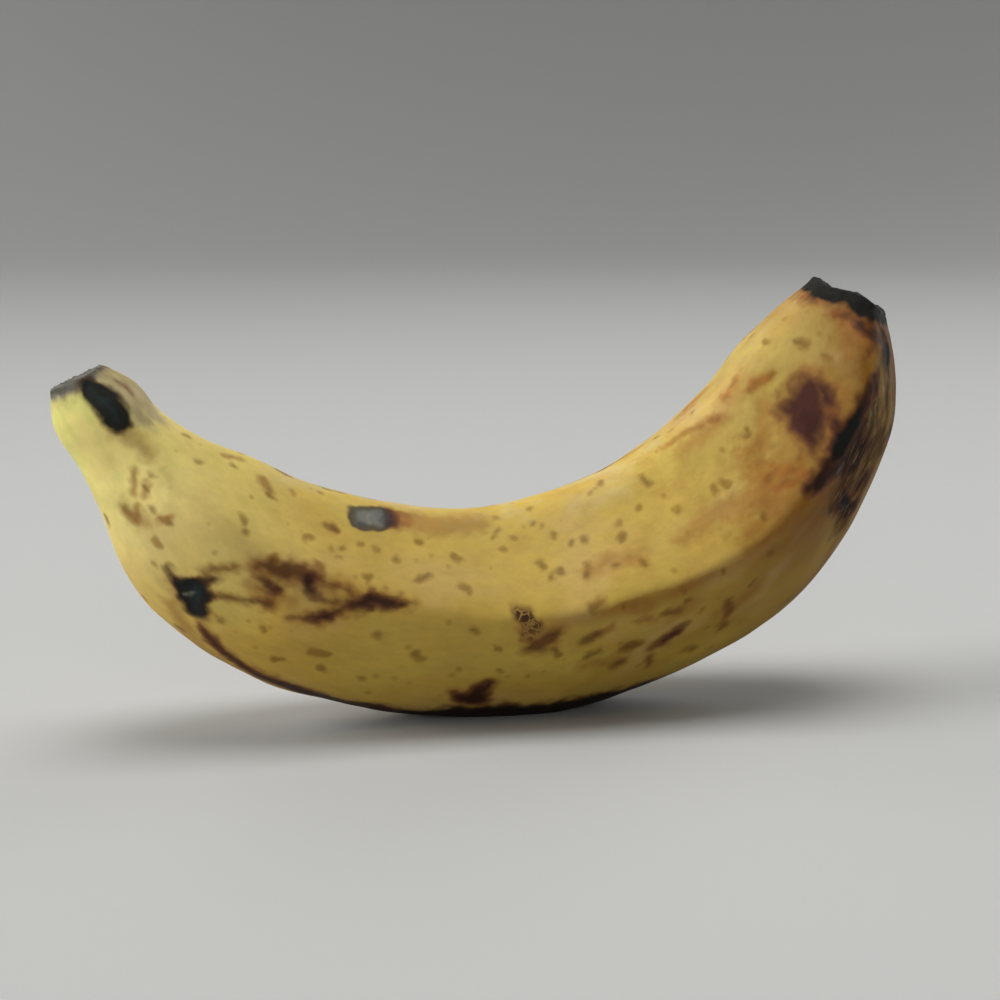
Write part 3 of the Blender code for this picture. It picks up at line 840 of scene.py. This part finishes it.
def peel_finish():
    """Ripe banana peel: two sides' tones by place along the fruit, then the skin's tints and
    mottles, the flecks, the marks, and what lies over them."""
    material, tree = new_material("ripe banana peel")
    grain = add(tree, "Attribute", output="Vector", attribute_name="grain")
    value = {}
    for name, (lump, drawn_out, detail, roughness) in PATTERNS.items():
        per_mm = (1 / lump / drawn_out, 1 / lump, 1 / lump)
        place = add(tree, "VectorMath", {0: grain, 1: per_mm}, operation="MULTIPLY")
        look = {"Vector": place, "Scale": 1.0, "Detail": detail, "Roughness": roughness}
        value[name] = add(tree, "TexNoise", look, "Fac")
    for name in ("along", "fibrous", "dried", "black"):
        value[name] = add(tree, "Attribute", output="Fac", attribute_name=name)
    for name, (pattern, most) in MOVED_FIELDS.items():
        value[name] = moved(tree, name, value[pattern], most)

    drift = {"Value": value["broad"], 1: NOISE_LOW, 2: NOISE_HIGH, 3: -TONE_DRIFT, 4: TONE_DRIFT}
    drift = add(tree, "MapRange", drift)
    share = add(tree, "Math", {0: value["along"], 1: 1 / LENGTH, 2: drift}, operation="MULTIPLY_ADD")
    sides = []
    for tones in (UPPER_TONES, LOWER_TONES):
        side = add(tree, "ValToRGB", {"Fac": share}, "Color")
        stops = side.node.color_ramp.elements
        while len(stops) < len(tones):
            stops.new(0.5)
        for stop, (place, tone) in zip(stops, tones):
            stop.position = place
            stop.color = linear(tone)
        sides.append(side)
    # The lower side's darker tones, partly painted shade
    colour = tinted(tree, *sides, (value["under"], *SIDE_STEP))

    for tone, *steps in SKIN_TINTS:
        colour = tinted(tree, colour, linear(tone), *((value[name], *rest) for name, *rest in steps))
    for name, least, most in MOTTLES:
        shade = add(tree, "MapRange", {"Value": value[name], 1: 0.28, 2: 0.72, 3: least, 4: most})
        colour = add(tree, "Mix", {0: 1.0, 6: colour, 7: shade}, 2, data_type="RGBA",
                     blend_type="MULTIPLY")

    place = add(tree, "VectorMath", {0: grain, 1: (1 / FLECK_SPACING,) * 3}, operation="MULTIPLY")
    away = add(tree, "TexVoronoi", {"Vector": place, "Scale": 1.0}, "Distance")
    luck = add(tree, "SeparateColor", {0: away.node.outputs["Color"]})
    fleck = add(tree, "MapRange", {"Value": luck, 1: FLECKLESS, 2: 1.0, 3: 0.0, 4: FLECK_SIZE})
    fleck = add(tree, "Math", {0: fleck, 1: away}, operation="SUBTRACT")
    edge = {"Value": value["fine"], 1: 0.3, 2: 0.7, 3: -FLECK_RAGGED, 4: FLECK_RAGGED}
    edge = add(tree, "MapRange", edge)
    fleck = add(tree, "Math", {0: fleck, 1: edge}, operation="ADD")
    colour = tinted(tree, colour, linear(FLECK_TONE), (fleck, *FLECK_STEP))

    patch = add(tree, "MapRange", {"Value": value["patch"], 1: 0.35, 2: 0.65},
                interpolation_type="SMOOTHSTEP")
    for name, start, full, ragged, tone, second_tone, strength in MARK_LAYERS:
        depth = moved(tree, name, value["ragged"], ragged)
        tones = add(tree, "Mix", {0: patch, 6: linear(tone), 7: linear(second_tone)}, 2, data_type="RGBA")
        colour = tinted(tree, colour, tones, (depth, start, full, 0.0, strength))

    bend = add(tree, "TexNoise", {"Vector": grain, "Scale": NET_BEND_SCALE, "Detail": 2.0}, "Color")
    net = add(tree, "VectorMath", {0: bend, 1: (NET_BEND,) * 3, 2: grain}, operation="MULTIPLY_ADD")
    value["net_lines"] = add(tree, "TexVoronoi", {"Vector": net, "Scale": NET_MESH}, "Distance",
                             feature="DISTANCE_TO_EDGE")
    for tone, *steps in OVER_TINTS:
        colour = tinted(tree, colour, linear(tone), *((value[name], *rest) for name, *rest in steps))

    worn = 0.0
    for name, start, full in WORN:
        gone = add(tree, "MapRange", {"Value": value[name], 1: start, 2: full},
                   interpolation_type="SMOOTHSTEP")
        worn = add(tree, "Math", {0: worn, 1: gone}, operation="MAXIMUM")
    waxy = {"Value": value["fine"], 1: 0.3, 2: 0.7, 3: WAXY_ROUGHNESS[0], 4: WAXY_ROUGHNESS[1]}
    rough = add(tree, "MapRange", waxy)
    rough = add(tree, "Math", {0: worn, 1: WORN_ROUGHNESS, 2: rough}, operation="MULTIPLY_ADD")
    pores = {"Height": value["pores"], "Strength": PORE_STRENGTH, "Distance": PORE_DEPTH * METRES}
    shader = add(tree, "BsdfPrincipled", {
        "Base Color": colour, "Roughness": rough, "Normal": add(tree, "Bump", pores),
        "IOR": WAX_IOR, "Specular IOR Level": WAX_SPECULAR,
    })
    add(tree, "OutputMaterial", {"Surface": shader})
    return material


# The stem's cut face: corky fibres that a knife cut through and the air dried. It is dull and grey,
# with a coarse grain of fibre ends.

STEM_TONES = ("#302e2a", "#6a675d")
STEM_GRAIN, STEM_GRAIN_DEPTH = 1.2, 0.3
STEM_ROUGHNESS = 0.85


def stem_finish():
    """Dry cut stem: two greys mixed by a fine noise, which also makes its bumps."""
    material, tree = new_material("dry cut stem")
    place = add(tree, "TexCoord", output="Object")
    look = {"Vector": place, "Scale": 1 / (STEM_GRAIN * METRES), "Detail": 6.0, "Roughness": 0.7}
    fibres = add(tree, "TexNoise", look, "Fac")
    amount = add(tree, "MapRange", {"Value": fibres, 1: 0.3, 2: 0.7})
    dark, light = map(linear, STEM_TONES)
    colour = add(tree, "Mix", {0: amount, 6: dark, 7: light}, 2, data_type="RGBA")
    grooves = {"Height": fibres, "Strength": 0.6, "Distance": STEM_GRAIN_DEPTH * METRES}
    look = {"Base Color": colour, "Roughness": STEM_ROUGHNESS, "Normal": add(tree, "Bump", grooves)}
    add(tree, "OutputMaterial", {"Surface": add(tree, "BsdfPrincipled", look)})
    return material


# The peel's faces come ring by ring from the stem, then the two fans, the stem's first
mesh.materials.append(peel_finish())
mesh.materials.append(stem_finish())
ring_of_face = np.concatenate([
    np.repeat(np.arange(rings - 1), AROUND), np.zeros(AROUND), np.full(AROUND, rings),
])
mesh.polygons.foreach_set("material_index", (ring_of_face < FACE_RINGS - 1).astype(np.int32))


# The studio floor: a sheet of plain pale paper, flat round the fruit and swept up on all sides.
# It is uncoated and dull, and gives the fruit a soft light from below.

PAPER_TONE, PAPER_ROUGHNESS = "#a4a4a2", 0.9
FLOOR_RINGS, FLOOR_FLAT = (0.25, 0.7), 1.1
SWEEP_RADIUS, SWEEP_DEG, SWEEP_RINGS = 0.9, 80, 33
FLOOR_AROUND = 96


def floor_finish():
    """Plain paper: one even tone, dull."""
    material, tree = new_material("plain pale paper")
    look = {"Base Color": linear(PAPER_TONE), "Roughness": PAPER_ROUGHNESS}
    add(tree, "OutputMaterial", {"Surface": add(tree, "BsdfPrincipled", look)})
    return material


bend = np.radians(np.linspace(0, SWEEP_DEG, SWEEP_RINGS))
profile_out = np.concatenate([FLOOR_RINGS, FLOOR_FLAT + SWEEP_RADIUS * np.sin(bend)])
profile_up = np.concatenate([np.zeros(len(FLOOR_RINGS)), SWEEP_RADIUS * (1 - np.cos(bend))])
turn_round = np.arange(FLOOR_AROUND) * 2 * math.pi / FLOOR_AROUND
floor_points = np.stack([
    profile_out[:, None] * np.cos(turn_round),
    profile_out[:, None] * np.sin(turn_round),
    np.broadcast_to(profile_up[:, None], (len(profile_up), FLOOR_AROUND)),
], axis=-1).reshape(-1, 3)
i, j = np.meshgrid(np.arange(len(profile_out) - 1), np.arange(FLOOR_AROUND), indexing="ij")
k = (j + 1) % FLOOR_AROUND
inner, outer = i * FLOOR_AROUND, (i + 1) * FLOOR_AROUND
corners = [inner + j, outer + j, outer + k, inner + k]
floor_faces = np.stack(corners, -1).reshape(-1, 4).tolist()
floor_mesh = bpy.data.meshes.new("floor")
floor_mesh.from_pydata(floor_points, [], floor_faces + [tuple(range(FLOOR_AROUND))])
floor_mesh.shade_smooth()
floor_mesh.materials.append(floor_finish())
floor = bpy.data.objects.new("floor", floor_mesh)
bpy.context.scene.collection.objects.link(floor)


# The light: a broad softbox nearly overhead, a larger one from the left that makes the lit end and
# the shadow under the fruit, and weak ones in front, at the right and behind.

FRUIT_MIDDLE = (0, 0, 0.03)
AIR_TONE, AIR_LIGHT = "#e6e6e4", 0.09


def aim(thing, place, target):
    """Puts a lamp or camera at a place, facing the target: its own -Z runs from one to the other."""
    back = np.subtract(place, target)
    back = back / np.linalg.norm(back)
    right = np.cross((0, 0, 1), back)
    right = right / np.linalg.norm(right)
    up = np.cross(back, right)
    matrix = np.eye(4)
    matrix[:3, :3] = np.stack([right, up, back], axis=1)
    matrix[:3, 3] = place
    thing.matrix_world = Matrix(matrix)


def soft_lamp(name, place, target, width, watts, spread_deg):
    """A square softbox, aimed at the fruit. A narrow spread is a grid on its face, which keeps its
    light off the paper beside it."""
    lamp = bpy.data.lights.new(name, "AREA")
    lamp.size = width
    lamp.energy = watts
    lamp.spread = math.radians(spread_deg)
    thing = bpy.data.objects.new(name, lamp)
    bpy.context.scene.collection.objects.link(thing)
    aim(thing, place, target)
    thing.visible_camera = False


soft_lamp("overhead", (0.1, 0.0, 1.6), FRUIT_MIDDLE, 0.9, 20.0, 180)
soft_lamp("left", (-1.55, 0.2, 0.68), FRUIT_MIDDLE, 1.1, 6.7, 70)
soft_lamp("front_fill", (-0.3, -1.5, 0.5), FRUIT_MIDDLE, 0.9, 5.0, 180)
soft_lamp("right_fill", (1.23, 0.86, 0.7), FRUIT_MIDDLE, 0.9, 1.7, 70)
soft_lamp("back_rim", (-0.4, 1.5, 0.9), (0, 0, 0.05), 0.7, 4.0, 180)

world = bpy.data.worlds.new("studio air")
bpy.context.scene.world = world
world.use_nodes = True
world.node_tree.nodes["Background"].inputs["Color"].default_value = linear(AIR_TONE)
world.node_tree.nodes["Background"].inputs["Strength"].default_value = AIR_LIGHT
bpy.context.scene.view_settings.view_transform = "Standard"


# The view of the photograph: low, and turned slightly towards the stem's end.

VIEW_AZIMUTH_DEG, VIEW_ELEVATION_DEG, VIEW_DISTANCE = -16, 10, 0.425
VIEW_AIM = (0.0014, 0.0, 0.0393)
VIEW_LENS = 85

camera_data = bpy.data.cameras.new("camera")
camera_data.lens = VIEW_LENS
camera = bpy.data.objects.new("camera", camera_data)
bpy.context.scene.collection.objects.link(camera)
azimuth, elevation = math.radians(VIEW_AZIMUTH_DEG), math.radians(VIEW_ELEVATION_DEG)
away = np.array([
    math.sin(azimuth) * math.cos(elevation), -math.cos(azimuth) * math.cos(elevation), math.sin(elevation),
])
aim(camera, np.array(VIEW_AIM) + away * VIEW_DISTANCE, VIEW_AIM)
bpy.context.scene.camera = camera
